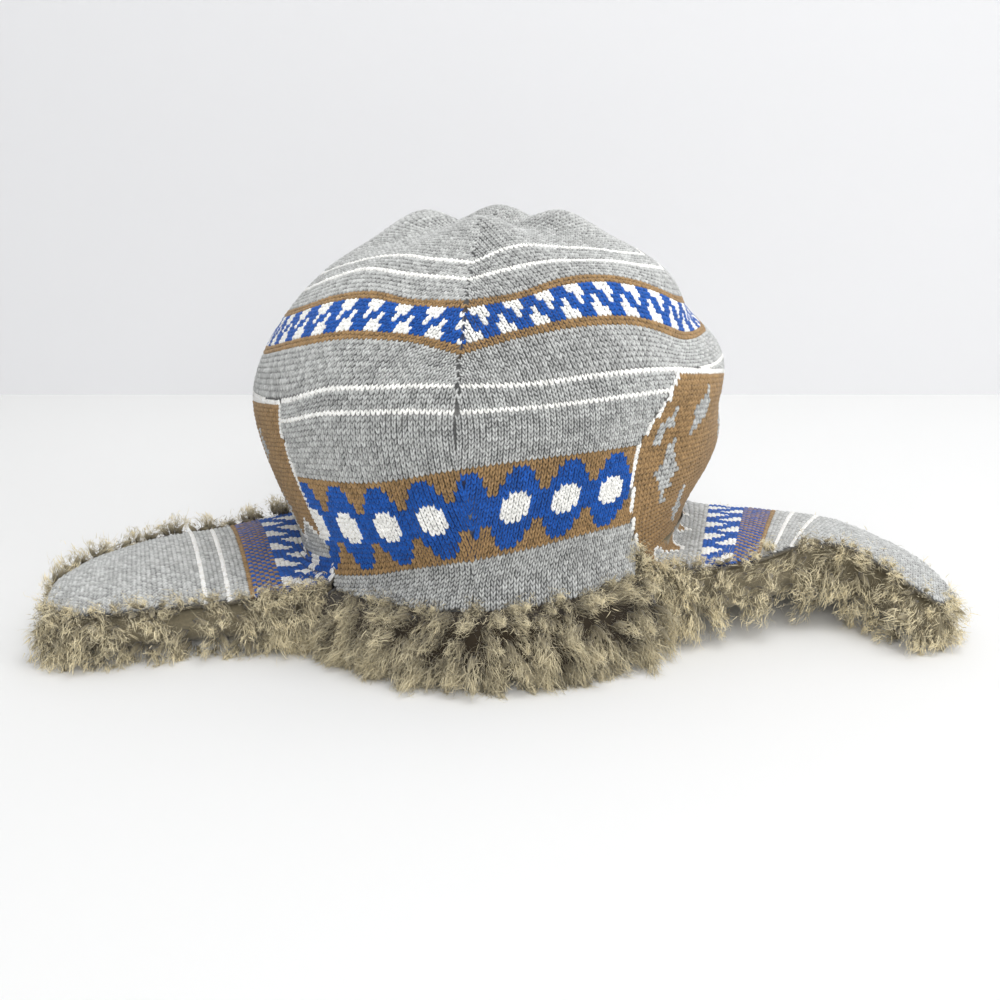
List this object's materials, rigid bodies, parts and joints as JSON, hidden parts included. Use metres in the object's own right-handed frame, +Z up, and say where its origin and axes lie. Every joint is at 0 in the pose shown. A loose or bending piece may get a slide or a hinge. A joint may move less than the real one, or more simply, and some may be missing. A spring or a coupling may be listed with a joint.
{
  "type": "knit trapper hat",
  "caption": "Knit trapper hat with patterned bands, a crown of sewn gores, ear flaps spread out to the sides and a deep sherpa lining along every lower edge.",
  "frame": {"origin": "middle of the hat's box, on the surface it lies on", "axes": "+X towards the hat's right flap as seen from behind, +Y from the back of the hat to its front, +Z up"},
  "size_m": [0.3924, 0.2456, 0.1664],
  "materials": {
    "crown_knit": "grey heather stockinette knit with blue, white and brown bands",
    "ear_knit": "brown and grey stockinette knit with patterned bands",
    "sherpa": "olive-tan curly pile"
  },
  "bodies": {
    "root": {"crown_back_left": "crown_knit", "crown_back_right": "crown_knit", "crown_front_left": "crown_knit", "crown_front_right": "crown_knit", "ear_flap_left": "ear_knit", "ear_flap_right": "ear_knit", "sherpa_neck": "sherpa", "sherpa_brow": "sherpa", "sherpa_flap_left": "sherpa", "sherpa_flap_right": "sherpa"}
  },
  "joints": []
}
